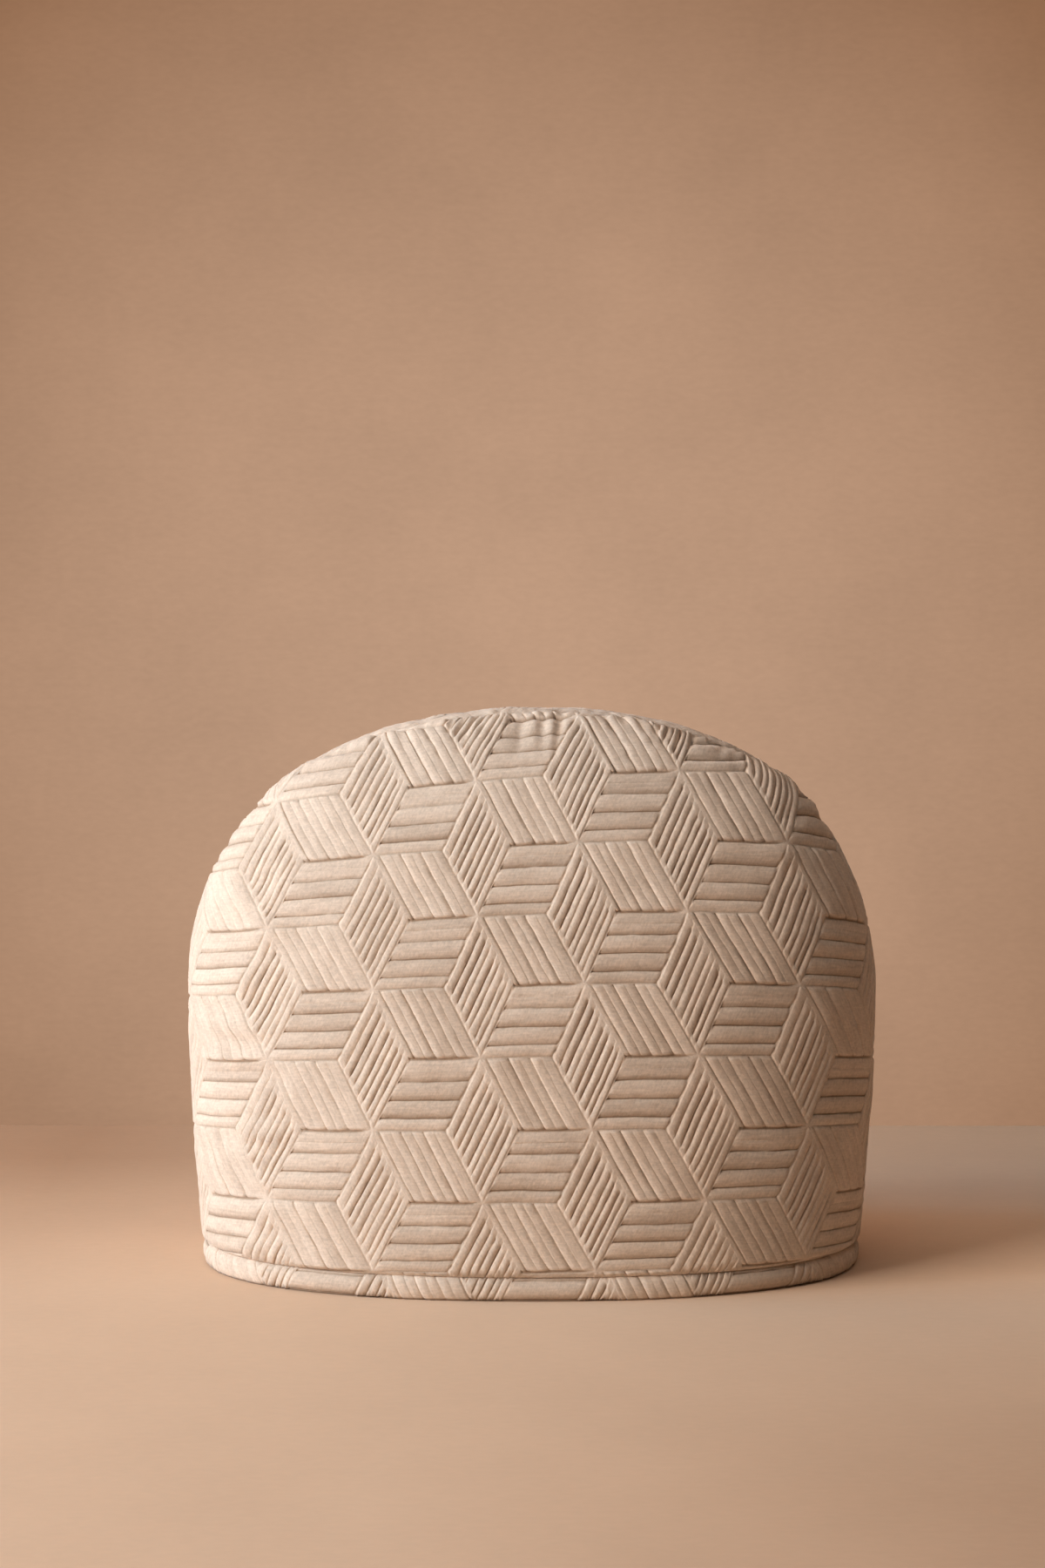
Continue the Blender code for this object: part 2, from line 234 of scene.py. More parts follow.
# each kind of block: the way its ribs run, the way they lie side by side, where its deep and shallow grooves are
# across it in eighths, their depths and reach in mm, whether shallow grooves part the ribs too, how a rib is rounded
# (depth and share of its width from its near edge, the same from its far edge, then a wave's depth), the flat bands
# at the ribs' ends in mm, how deep the line is on the block's near side, far side, start and end, and how much
# wider it is at the start and end
blockKinds = (
    dict(
        along=0, across=1, deep=(0, 1.4, 3.4, 5.45, 8), shallow=(6.7,), depths=(0.5, 0.15), groove=0.25, parts=False,
        round=(0.24, 0.5, 0.08, 0.25, 0.36), bands=(0, 0), lines=(0.5, 0.88, 0.22, 0.4), reach=(1, 1),
    ),
    dict(
        along=1, across=2, deep=(0, 1.75, 3.65, 5.65, 8), shallow=(0.95, 2.8, 4.75, 6.75), depths=(0.55, 0.45),
        groove=0.31, parts=True, round=(0.2, 0.75, 0.12, 0.22, 0), bands=(2.2, 2.7), lines=(0.4, 0.4, 0.4, 0),
        reach=(1, 1),
    ),
    dict(
        along=2, across=3, deep=(0, 2.55, 4.95, 7.35), shallow=(1.35, 3.75, 6.1), depths=(0.36, 0.14), groove=0.25,
        parts=False, round=(0.16, 0.8, 0.14, 0.12, 0), bands=(0, 0), lines=(0.35, 0, 0.95, 0.5), reach=(1.5, 1.3),
    ),
)
# the ways from a corner of the blocks to the next: level, rising to the right, rising to the left, level and back
ways = np.array([
    [quilt["column"] * 2 / 3, 0],
    [quilt["column"] / 3, quilt["row"] / 2],
    [-quilt["column"] / 3, quilt["row"] / 2],
    [-quilt["column"] * 2 / 3, 0],
])


# the shares across a block where the mesh has lines: close together at its sides and at each groove
def acrossPlaces(kind):
    wide = lengths(kind)[1]
    grooves = np.array([g for g in kind["deep"] + kind["shallow"] if 0 < g < quilt["stripes"]])
    grooves = grooves * wide / quilt["stripes"]
    side = np.array(quilt["sideSteps"])
    places = np.concatenate([side, wide - side, (grooves[:, None] + np.array(quilt["grooveSteps"])).ravel()])
    places = np.unique(np.round(places / (0.1 * mm))) * 0.1 * mm
    return fillGaps(places, quilt["widestStep"]) / wide


# the shares along a block where the mesh has lines: close together where a rib ends
def alongPlaces(fine):
    ends = np.array(quilt["alongEnds"])
    widest = 1 / quilt["fineSteps"] if fine else quilt["coarseStep"]
    return fillGaps(np.concatenate([ends, 1 - ends[::-1]]), widest)


# adds even places inside each gap that is wider than allowed
def fillGaps(places, widest):
    gaps = zip(places[:-1], places[1:])
    filled = [np.linspace(p, q, int(np.ceil((q - p) / widest - probe)) + 1)[:-1] for p, q in gaps]
    return np.append(np.concatenate(filled), places[-1])


# two triangles for each cell of a grid of point numbers
def gridFaces(index):
    p, q, r, s = [k.ravel() for k in (index[:-1, :-1], index[:-1, 1:], index[1:, 1:], index[1:, :-1])]
    return np.concatenate([np.stack([p, q, r], axis=1), np.stack([p, r, s], axis=1)])


# triangles between two rows of points, each step made from whichever row lags
def ladder(first, firstPlace, second, secondPlace):
    firstMiddle = (firstPlace[1:] + firstPlace[:-1]) / 2
    secondMiddle = (secondPlace[1:] + secondPlace[:-1]) / 2
    facing = second[np.searchsorted(secondMiddle, firstMiddle)]
    back = first[np.searchsorted(firstMiddle, secondMiddle, side="right")]
    return np.concatenate([
        np.stack([first[:-1], first[1:], facing], axis=1),
        np.stack([second[1:], second[:-1], back], axis=1),
    ])


# one block before it is placed: shares along and across, and triangles: a grid inside a frame whose
# four edges have the same even places, so that blocks of every kind join
def blockTemplate(kind, fine):
    along, across, edge = alongPlaces(fine), acrossPlaces(kind), np.array(quilt["edgePlaces"])
    zero, one = np.zeros(len(edge)), np.ones(len(edge))
    a = np.concatenate([edge, one, 1 - edge, zero, np.tile(along, len(across))])
    c = np.concatenate([zero, edge, one, 1 - edge, np.repeat(across, len(along))])
    border = np.arange(4 * len(edge))
    borderPlace = np.concatenate([edge + side for side in range(4)]) / 2
    grid = len(border) + np.arange(len(across) * len(along)).reshape(len(across), len(along))
    inner = np.concatenate([grid[0, :-1], grid[:-1, -1], grid[-1, :0:-1], grid[:0:-1, 0]])
    innerPlace = np.concatenate([
        [0], along[1:-1], [1], 1 + across[1:-1], [2], 3 - along[-2:0:-1], [3], 4 - across[-2:0:-1],
    ]) / 2
    faces = np.concatenate([gridFaces(grid), closedLadder(border, borderPlace, inner, innerPlace)])
    return a, c, faces


# height and tone of a block's cloth. Height: its lift, less the line round the block, less what is carved into
# it, which is a bell-shaped groove at each rib's edge, the rounding of each rib and a small tilt of its own.
# Tone: one random shade from -1 to 1 for each rib, and part of one for the block
def blockCloth(kind, a, c, seed):
    random = np.random.default_rng(seed)
    long, wide = lengths(kind)
    across, along = c * wide, a * long
    eighth = wide / quilt["stripes"]
    start, end = (np.array(kind["bands"]) * mm)[:, None] * random.uniform(*uneven["band"], (2, uneven["most"]))
    before, after = uneven["bandEnd"]
    (depthWave, depthSize), (slipWave, slipSize) = uneven["depthWave"], uneven["slipWave"]
    carved = np.zeros(len(a))
    for number, groove in enumerate(kind["deep"] + kind["shallow"]):
        depth = kind["depths"][groove in kind["shallow"]] * random.uniform(*uneven["depth"]) * mm
        depth = depth * (1 + depthWave * softNoise(along, across * 0, depthSize, seed + 50 + number, waves=5))
        runs = 1.0
        if kind["bands"][0]:
            runs = smoothStep(along, start[number] - before, start[number] + after)
            runs = runs * smoothStep(long - along, end[number] - before, end[number] + after)
        slip = random.uniform(-uneven["slip"], uneven["slip"]) * mm
        slip = slip + slipWave * softNoise(along, across * 0, slipSize, seed + number, waves=5)
        slip = slip * (0 < groove < quilt["stripes"])
        carved = np.maximum(carved, depth * bell(across - groove * eighth - slip, kind["groove"] * mm) * runs)
    rib, inRib, width, count = ribOf(kind["deep"] + kind["shallow"] * kind["parts"], across / eighth)
    near, nearShare, far, farShare, wave = kind["round"]
    pillow = near * np.clip(1 - inRib / nearShare, 0, 1) ** 2 + far * np.clip(1 - (1 - inRib) / farShare, 0, 1) ** 2
    pillow = pillow + wave * (1 + np.cos(2 * np.pi * inRib)) / 2
    tilt = random.uniform(-uneven["tilt"], uneven["tilt"], count)[rib] * (inRib - 0.5) * width * eighth
    sides = np.stack([across, wide - across, along, long - along])
    reach = np.ones_like(sides) * quilt["lineReach"]
    reach[2:] *= np.array(kind["reach"])[:, None] * (1 + quilt["scallop"] * (2 * inRib - 1) ** 2)
    depths = np.ones_like(sides) * np.array(kind["lines"])[:, None]
    (most, *atEnd), (part, *atStart) = quilt["lineStop"], quilt["lineStart"]
    depths[1] *= 1 - most * (smoothStep(a, *atEnd) + part * (1 - smoothStep(a, *atStart)))
    line = np.prod(1 - depths * bell(sides, reach), axis=0)
    window = 1 - bell(sides.min(axis=0), quilt["lineWindow"])
    height = np.maximum(quilt["lift"] * line - (carved + pillow * mm + tilt) * window, 0)
    shade, _, _, count = ribOf(kind["deep"] + kind["shallow"], across / eighth)
    ribTone, blockTone = uneven["tones"]
    tone = ribTone * random.uniform(-1, 1, count)[shade] + blockTone * random.uniform(-1, 1)
    return height, tone * window


# which rib each place is in, how far across that rib it is, the rib's width, and how many ribs there are
def ribOf(grooves, eighths):
    edges = np.unique(grooves + (0, quilt["stripes"]))
    rib = np.clip(np.searchsorted(edges, eighths, side="right") - 1, 0, len(edges) - 2)
    width = (edges[1:] - edges[:-1])[rib]
    return rib, (eighths - edges[rib]) / width, width, len(edges) - 1


# a rib's length and a block's width square to its ribs
def lengths(kind):
    along, across = ways[kind["along"]], ways[kind["across"]]
    long = np.hypot(*along)
    return long, abs(along[0] * across[1] - along[1] * across[0]) / long


# all the blocks that keep() wants, as one sheet: for each point its place in the even pattern, height and tone,
# then the triangles, and for each of their corners its place along and across its rib
def quiltSheet(columns, rows, keep, fine, seed):
    templates = {(n, f): blockTemplate(kind, f) for n, kind in enumerate(blockKinds) for f in (False, True)}
    points, faces, ribs, count = [], [], [], 0
    for column in columns:
        for row in rows:
            corner = np.array([quilt["column"] * (column - 0.5), quilt["row"] * (row - 0.5 + column % 2 / 2)])
            for number, kind in enumerate(blockKinds):
                middle = corner + (ways[kind["along"]] + ways[kind["across"]]) / 2
                if not keep(*middle):
                    continue
                a, c, triangles = templates[number, bool(fine(*middle))]
                long, wide = lengths(kind)
                own = seed + 3 * (64 * (column + 20) + row + 20) + number  # a number that no other block has
                flat = corner + a[:, None] * ways[kind["along"]] + c[:, None] * ways[kind["across"]]
                points.append(np.column_stack([flat, *blockCloth(kind, a, c, own)]))
                rib = np.stack([a * long, c * wide], axis=1) + [own % 17 * 0.05, own % 23 * 0.04]  # so threads differ
                faces.append(triangles + count)
                ribs.append(rib[triangles])
                count += len(a)
    return weld(np.concatenate(points), np.concatenate(faces), np.concatenate(ribs))


# joins points whose places, rounded to the step, are the same, and drops triangles that this closes up; the shift
# keeps the even pattern's points off the edges between the steps
def weld(points, faces, ribs, step=1.7e-6, shift=0.31):
    key = np.round(points[:, :2] / step + shift).astype(np.int64)
    key = (key[:, 0] + 2 ** 30) * 2 ** 31 + key[:, 1] + 2 ** 30
    _, first, inverse = np.unique(key, return_index=True, return_inverse=True)
    faces = inverse.reshape(-1)[faces]
    real = (faces[:, 0] != faces[:, 1]) & (faces[:, 1] != faces[:, 2]) & (faces[:, 2] != faces[:, 0])
    return points[first], faces[real], ribs[real]


# cuts a sheet where level is 0 and keeps the side where it is positive; a cut edge gets one new point
def trim(sheet, level):
    points, faces, ribs = sheet
    level = np.where(np.abs(level) < quilt["snap"], 0, level)
    inside = level[faces] > 0
    count = inside.sum(axis=1)
    newPoints, newFaces, newRibs = [points], [faces[count == 3]], [ribs[count == 3]]
    start = len(points)
    for lone, patterns in ((1, [[0, 3, 4]]), (2, [[3, 1, 2], [3, 2, 4]])):  # one corner inside, or one outside
        chosen = count == lone
        odd = np.argmax(inside[chosen] == (lone == 1), axis=1)
        turn = (odd[:, None] + np.arange(3)[None]) % 3
        corner = np.take_along_axis(faces[chosen], turn, axis=1)
        rib = np.take_along_axis(ribs[chosen], turn[:, :, None], axis=1)
        value = level[corner]
        share = (value[:, :1] / (value[:, :1] - value[:, 1:]))[..., None]
        cut = points[corner[:, :1]] * (1 - share) + points[corner[:, 1:]] * share
        newPoints.append(cut.reshape(-1, points.shape[1]))
        five = np.concatenate([corner, start + np.arange(2 * len(corner)).reshape(-1, 2)], axis=1)
        fiveRibs = np.concatenate([rib, rib[:, :1] * (1 - share) + rib[:, 1:] * share], axis=1)
        start += 2 * len(corner)
        newFaces += [five[:, pattern] for pattern in patterns]
        newRibs += [fiveRibs[:, pattern] for pattern in patterns]
    points, faces, ribs = weld(np.concatenate(newPoints), np.concatenate(newFaces), np.concatenate(newRibs))
    used, inverse = np.unique(faces, return_inverse=True)  # leaves out the points that no triangle uses
    return points[used], inverse.reshape(faces.shape), ribs


# the points on a sheet's open edges
def openEdge(faces):
    edges = np.sort(np.concatenate([faces[:, [0, 1]], faces[:, [1, 2]], faces[:, [2, 0]]]), axis=1)
    pairs, uses = np.unique(edges, axis=0, return_counts=True)
    return np.unique(pairs[uses == 1])


# the closed ladder between two loops of points, each placed from 0 to 2 along its loop
def closedLadder(first, firstPlace, second, secondPlace):
    loops = []
    for loop, place in ((first, firstPlace), (second, secondPlace)):
        order = np.argsort(place)
        loops += [np.append(loop[order], loop[order[0]]), np.append(place[order], place[order[0]] + 2)]
    return ladder(*loops)


# a shader's socket; an expression on sockets adds the Math nodes that work it out
class Socket:
    def __init__(self, tree, output):
        self.tree, self.output = tree, output

    def mathNode(self, operation, *others):
        values = {i: v for i, v in enumerate((self, *others))}
        return self.node("ShaderNodeMath", {"operation": operation}, values)

    def node(self, kind, settings, values, output=0):
        made = self.tree.nodes.new(kind)
        for key, value in settings.items():
            setattr(made, key, value)
        for key, value in values.items():
            if isinstance(value, Socket):
                self.tree.links.new(value.output, made.inputs[key])
            else:
                made.inputs[key].default_value = value
        return Socket(self.tree, made.outputs[output])

    def __add__(self, other):
        return self.mathNode("ADD", other)

    def __sub__(self, other):
        return self.mathNode("SUBTRACT", other)

    def __rsub__(self, other):
        return (self * -1) + other

    def __mul__(self, other):
        return self.mathNode("MULTIPLY", other)

    def __truediv__(self, other):
        return self.mathNode("DIVIDE", other)

    __radd__, __rmul__ = __add__, __mul__

    def clamp(self, low, high):
        return self.mathNode("MAXIMUM", low).mathNode("MINIMUM", high)

    def scaled(self, factor):
        return self.node("ShaderNodeVectorMath", {"operation": "SCALE"}, {0: self, 3: factor})

    def mixColour(self, first, second):
        return self.node("ShaderNodeMix", {"data_type": "RGBA"}, {0: self, 6: first, 7: second}, 2)

    def multiplied(self, colour):
        settings = {"data_type": "RGBA", "blend_type": "MULTIPLY"}
        return self.node("ShaderNodeMix", settings, {0: 1.0, 6: self, 7: colour}, 2)


# a material with its shader; returns the material, the shader and a first socket to build on
def newMaterial(name, roughness, sheen=0.0, specular=0.25):
    material = bpy.data.materials.new(name)
    material.use_nodes = True
    shader = material.node_tree.nodes["Principled BSDF"]
    shader.inputs["Roughness"].default_value = roughness
    shader.inputs["Sheen Weight"].default_value = sheen
    shader.inputs["Sheen Roughness"].default_value = 0.5
    shader.inputs["Specular IOR Level"].default_value = specular
    return material, shader, Socket(material.node_tree, None)


# links a socket to an input of the shader
def plug(socket, shader, name):
    socket.tree.links.new(socket.output, shader.inputs[name])


# noise at a size in metres, over coordinates stretched by the given factors
def noiseOver(place, size, stretch=(1, 1, 1), detail=2.0, roughness=0.5):
    scaled = place.node("ShaderNodeMapping", {}, {"Vector": place, "Scale": tuple(k / size for k in stretch)})
    values = {"Vector": scaled, "Scale": 1.0, "Detail": detail, "Roughness": roughness}
    return place.node("ShaderNodeTexNoise", {}, values)


cotton = dict(
    colour=(0.755, 0.612, 0.487, 1),
    # the colour of the painted shade down in the grooves
    grooveShadeColour=(0.40, 0.28, 0.19, 1),
    roughness=0.9,
    sheen=0.15,
    toneShare=0.14,
    darkFleck=(0.78, 0.765, 0.75, 1),
    lightFleck=(1.13, 1.135, 1.14, 1),
    threadSize=1.0 * mm,
    threadStretch=(1.4, 0.3, 1),  # threads that cross the ribs, and threads that run along them
    alongStretch=(0.12, 1.1, 1),
    threadShare=0.9,
    thread=0.05 * mm,
    napSize=1.5 * mm,
    napShare=1.5,
    grain=0.13 * mm,
    cloudSize=9 * mm,
    cloudShare=0.7,
)


# soft cotton: cream with painted shade down in the grooves (and a painted shadow along the hem's foot), each rib a
# tone of its own, then flecked by a brushed nap, soft clouds and an uneven thread across the ribs
def cottonMaterial(name, look):
    material, shader, start = newMaterial(name, look["roughness"], look["sheen"])
    cloth = start.node("ShaderNodeUVMap", {"uv_map": "cloth"}, {})
    rib = start.node("ShaderNodeUVMap", {"uv_map": "rib"}, {})
    height = start.node("ShaderNodeAttribute", {"attribute_name": "relief"}, {}, 2)
    tone = start.node("ShaderNodeAttribute", {"attribute_name": "tone"}, {}, 2)
    thread = noiseOver(rib, look["threadSize"], look["threadStretch"])
    along = noiseOver(rib, look["threadSize"], look["alongStretch"])
    nap = noiseOver(cloth, look["napSize"], detail=3.0, roughness=0.75)
    cloud = noiseOver(cloth, look["cloudSize"], detail=3.0, roughness=0.6)
    # painted shade: cloth low in the grooves is mixed towards the groove shade colour by the relief attribute
    base = (height + tone * look["toneShare"]).clamp(0, 1).mixColour(look["grooveShadeColour"], look["colour"])
    flecks = (nap - 0.5) * look["napShare"] + (cloud - 0.5) * look["cloudShare"]
    flecks = flecks + (thread + along - 1) * look["threadShare"]
    fleck = (flecks + 0.5 + tone * look["toneShare"]).clamp(0, 1).mixColour(look["darkFleck"], look["lightFleck"])
    plug(base.multiplied(fleck), shader, "Base Color")
    surface = thread * look["thread"] + nap * look["grain"]
    bump = start.node("ShaderNodeBump", {}, {"Strength": 1.0, "Distance": 1.0, "Height": surface})
    plug(bump, shader, "Normal")
    return material


# puts a mesh, a light or a camera into the scene
def addObject(name, data):
    made = bpy.data.objects.new(name, data)
    bpy.context.collection.objects.link(made)
    return made


# a finished piece from its quilted cloth and its plain back, whose triangles number all the points in one run; a
# plain triangle's coordinates in the cut cloth and along the ribs are its corners' x and z
def addPiece(name, cloth, backPoints, backFaces, material, facing=1):
    points, faces = np.concatenate([cloth["points"], backPoints]), np.concatenate([cloth["faces"], backFaces])
    plain = points[backFaces][:, :, [0, 2]]
    mesh = bpy.data.meshes.new(name)
    mesh.vertices.add(len(points))
    mesh.vertices.foreach_set("co", (points * [facing, facing, 1]).astype(np.float32).ravel())
    mesh.loops.add(3 * len(faces))
    mesh.loops.foreach_set("vertex_index", faces.astype(np.int32).ravel())
    mesh.polygons.add(len(faces))
    mesh.polygons.foreach_set("loop_start", np.arange(0, 3 * len(faces), 3, dtype=np.int32))
    mesh.update(calc_edges=True)
    for key in ("cloth", "rib"):
        uv = np.concatenate([cloth[key], plain]).astype(np.float32)
        mesh.uv_layers.new(name=key).data.foreach_set("uv", uv.ravel())
    for key, even in (("relief", quilt["plainShade"]), ("tone", 0.0)):
        values = np.concatenate([cloth[key], np.full(len(backPoints), even)]).astype(np.float32)
        mesh.attributes.new(key, "FLOAT", "POINT").data.foreach_set("value", values)
    shape = bmesh.new()
    shape.from_mesh(mesh)
    bmesh.ops.recalc_face_normals(shape, faces=shape.faces)
    shape.to_mesh(mesh)
    shape.free()
    mesh.shade_smooth()
    mesh.materials.append(material)
    print(name, len(faces), "triangles,", len(openEdge(faces)), "points on open edges")
    return addObject(name, mesh)


# the two panels
front = dict(
    # how the even pattern is pulled as it is laid: powers of the column and of the row, then mm across and up
    pull=(
        (0, 0, 2.50, 70.30), (1, 0, 45.00, 0.31), (0, 1, -1.70, 59.72), (2, 0, 0.38, -0.37), (1, 1, -1.31, 0.36),
        (0, 2, -0.31, 0.44), (3, 0, 0.29, -0.02), (2, 1, 0.13, -0.13), (1, 2, -0.41, 0.42), (0, 3, -0.03, -1.02),
        (4, 0, -0.04, -0.03), (3, 1, 0.05, -0.04), (2, 2, -0.09, -0.04), (1, 3, 0.22, -0.04), (0, 4, 0.06, 0.35),
    ),
    keepReach=40 * mm,  # how far past the panel's edge whole blocks are laid before it is cut
    fineTop=40 * mm,  # how far down from the top, and in from the side, the mesh is fine
    fineSide=26 * mm,
    seamDip=0.5 * mm,
    sideGroove=1.3 * mm,
    topDip=0.5 * mm,
    nearSeam=0.2 * mm,
    fade=0.7 * mm,  # how soon the quilting sinks to nothing at the seam
    topFade=1.5 * mm,
    hemFade=(0.8, 1.0 * mm),  # how much of it sinks at the hem, and how soon
    hemDip=(0.9 * mm, 1.1 * mm),  # the groove above the hem: depth and reach
    puff=1.1,  # how much deeper the quilting is beside the top seam
    puffReach=24 * mm,
    soft=((0.25 * mm, 34 * mm), (0.07 * mm, 7 * mm)),  # soft waves in the cloth: depth and size
    softFade=(0.9 * mm, 3 * mm),  # how soon the waves and folds fade out at the seam and at the hem
    # the gathers below the top seam, in mm: place across, depth (less than 0 for a bulge), width, length, lean
    gathers=(
        (-82, 0.6, 2.5, 20, -0.25), (-66, 0.6, 2.0, 22, -0.25), (-58, 0.7, 2.0, 24, -0.25), (-48, 0.6, 2.0, 20, -0.25),
        (-33, 1.0, 1.5, 22, 0.2), (-28.5, 1.1, 1.5, 26, 0.25), (-23.4, 1.3, 1.7, 34, 0.28), (-12, -0.5, 3.0, 26, 0),
        (-3.6, 0.9, 2.0, 38, 0.06), (1.5, -0.5, 2.2, 32, 0), (5.0, 0.8, 1.8, 36, 0), (9.5, -0.5, 2.0, 32, 0),
        (13.6, 1.1, 1.8, 42, 0.1), (20, -0.5, 3.0, 22, -0.3), (31, 0.7, 1.6, 20, -0.3), (38, 0.7, 1.6, 20, -0.3),
        (45, 0.6, 1.5, 18, -0.3), (56, 1.0, 1.6, 26, 0.2), (61, 1.0, 1.5, 28, 0.25), (66, 1.0, 1.5, 26, 0.25),
        (71.5, 0.9, 1.5, 22, 0.25), (84, 0.7, 2.0, 20, 0.2),
    ),
    gatherDepth=1.2 * mm,
    gatherFade=0.25,  # the share of its length where a gather begins to fade
    pucker=0.4 * mm,
    puckerSize=(0.3, 7 * mm, 12 * mm),  # its stretch from front to back, its size, and how far down it reaches
    wrinkles=((-130, 50, 0.8), (-122, 150, 0.7), (-132, 100, 0.7), (118, 180, 0.4)),  # mm across, up and deep
    wrinkleSize=(0.35, 13 * mm, 26 * mm, 42 * mm),  # their stretch, size, and reach across and up
    side=-1,  # the seam swings towards this panel where it isn't straight
    seed=11,
)
back = dict(
    front, pull=((0, 0, -9, 55), (1, 0, 45.07, 0.45), (0, 1, -1.82, 58.97)),
    topFade=12 * mm, fineTop=25 * mm, puff=0, side=1, seed=5200,
    gathers=(
        (-70, 0.6, 2.0, 9, 0.3), (-52, -0.4, 3.0, 9, 0), (-38, 0.6, 1.8, 9, 0.3), (-26, 0.7, 1.5, 8, -0.4),
        (-14, 0.7, 1.6, 9, -0.2), (-4, 0.7, 1.4, 8, 0.4), (5, -0.4, 3.0, 9, 0), (11, 0.6, 1.6, 9, -0.5),
        (22, 0.7, 1.8, 9, 0.2), (36, 0.5, 1.8, 9, 0.3),
    ),
    gatherDepth=0.7 * mm, pucker=0.2 * mm, wrinkles=((-118, 150, 0.35), (122, 60, 0.35)),
)
seamGap = 0.12 * mm
seamSwing = dict(
    far=17.5 * mm, low=45 * mm, high=100 * mm,  # the right seam, low down
    topX=(-0.108, -0.066, -0.04, 0.012, 0.028, 0.084, 0.112),  # the top seam: places across in metres
    topFar=(0, 0.008, 0.009, 0.0085, 0.0068, 0.0078, 0),  # and how far in front of the ridge it is there
    topFull=185 * mm,  # the height at which the top seam's swing is whole
    roundSide=20 * mm,  # how far a panel's cloth may run on round the dome's side
)
sink = 0.6 * mm  # how far the cloth's lines lie inside the plain dome
# broad hollows that both panels share, in mm: place across and up, depth (less than 0 for a swelling), reach
hollows = (
    (-62, 238, 2.2, 45), (5, 242, 1.3, 40), (60, 236, 0.5, 30),
    (-125, 195, 1.1, 35), (-152, 90, 0.9, 75), (112, 206, -2.0, 24),
)


# how far in front of the dome's middle the seam is at this place on it: one even swing low down on the right,
# and straight lines between the top seam's places
def seamAt(x, z):
    low = seamSwing["far"] * (1 - smoothStep(z, seamSwing["low"], seamSwing["high"])) * (x > 0)
    top = np.interp(x, seamSwing["topX"], seamSwing["topFar"])
    return low + top * smoothStep(z, dome["ridgeFrom"], seamSwing["topFull"])


# how far in the broad hollows bring each place on the dome: a sum of bells
def hollowAt(x, z):
    return sum(
        depth * mm * bell(np.hypot(x - across * mm, z - up * mm), reach * mm) for across, up, depth, reach in hollows
    )


# how far inside its seam each point of a panel's cloth is; cloth that has run round the side is outside
def insideSeam(flat, points, look, facing):
    inside = look["side"] * seamAt(points[:, 0] * facing, points[:, 2]) - seamGap - points[:, 1]
    fromSide = edgeAt(flat[:, 1]) + seamSwing["roundSide"] - np.abs(flat[:, 0])
    return np.where(ridgePast(*flat.T) > 0, inside, np.minimum(inside, fromSide))


# how far from the middle of the cloth the dome's side is, at this height up it; past the top it draws in fast
def edgeAt(up, drawIn=6):
    return np.interp(up, table["up"], table["quarter"]) - drawIn * np.maximum(up - upTop, 0)


# where a point of the even pattern lies on the cloth: a sum of powers of its column and row
def laid(flat, look):
    column, row = flat[:, 0] / quilt["column"], flat[:, 1] / quilt["row"]
    return sum((column ** i * row ** j)[:, None] * np.array([across, up]) * mm for i, j, across, up in look["pull"])


# the gathers below the top seam: soft troughs, each a bell across it, that start at the seam and fade out downwards
def gathered(x, down, look):
    total = np.zeros(len(x))
    for place, depth, width, length, lean in look["gathers"]:
        line = bell(x - (place - lean * down / mm) * mm, width * mm)
        faded = 1 - smoothStep(down, look["gatherFade"] * length * mm, length * mm)
        total += look["gatherDepth"] * depth * line * faded
    return total


# soft wrinkles that cross the cloth here and there: waves up the cloth inside a bell round each place
def wrinkled(across, up, look):
    total = np.zeros(len(across))
    stretch, size, wide, tall = look["wrinkleSize"]
    for number, (x, y, depth) in enumerate(look["wrinkles"]):
        wave = softNoise(across * stretch, up, size, look["seed"] + 40 + number)
        total += depth * mm * wave * bell(across - x * mm, wide) * bell(up - y * mm, tall)
    return total


# how far each point of a panel's cloth stands out of the bare dome: its height, deeper beside the top seam and sunk
# to nothing at the seam and the hem, less a dip along both and the broad hollows, plus waves, wrinkles and puckers
# and less the gathers, all of which fade out at the edges
def panelStand(flat, heights, bare, look, facing):
    x, fromHem = bare[:, 0] * facing, bare[:, 2] - dome["foot"]
    fromSeam = np.abs(insideSeam(flat, bare, look, facing))
    ridge = np.flatnonzero((fromSeam < look["nearSeam"]) & (bare[:, 2] > dome["ridgeFrom"]))
    ridge = ridge[np.argsort(x[ridge])]
    down = np.hypot(fromSeam, np.interp(x, x[ridge], bare[ridge, 2]) - bare[:, 2])
    onTop = smoothStep(bare[:, 2], dome["ridgeFrom"], dome["ridgeFull"])
    heights = quilt["lift"] - (quilt["lift"] - heights) * (1 + look["puff"] * onTop * bell(down, look["puffReach"]))
    fade = 1 - bell(fromSeam, look["fade"] + (look["topFade"] - look["fade"]) * onTop)
    (sunk, soon), (hemDip, hemReach) = look["hemFade"], look["hemDip"]
    fade = fade * (1 - sunk * bell(fromHem, soon))
    dip = look["seamDip"] * (1 - onTop) + look["topDip"] * onTop
    stand = heights * fade - sink - dip * bell(fromSeam, look["sideGroove"])
    stand -= hemDip * bell(fromHem, hemReach) + hollowAt(x, bare[:, 2])
    waves = enumerate(look["soft"], look["seed"] + 5)
    soft = sum(depth * softNoise(*flat.T, size, seed) for seed, (depth, size) in waves)
    stretch, size, reach = look["puckerSize"]
    pucker = look["pucker"] * softNoise(x, bare[:, 1] * stretch, size, look["seed"] + 7) * bell(down, reach)
    soft += wrinkled(*flat.T, look) + (pucker - gathered(x, down, look)) * onTop
    seamFade, hemFade = look["softFade"]
    return stand + soft * (1 - bell(fromSeam, seamFade)) * (1 - bell(fromHem, hemFade))


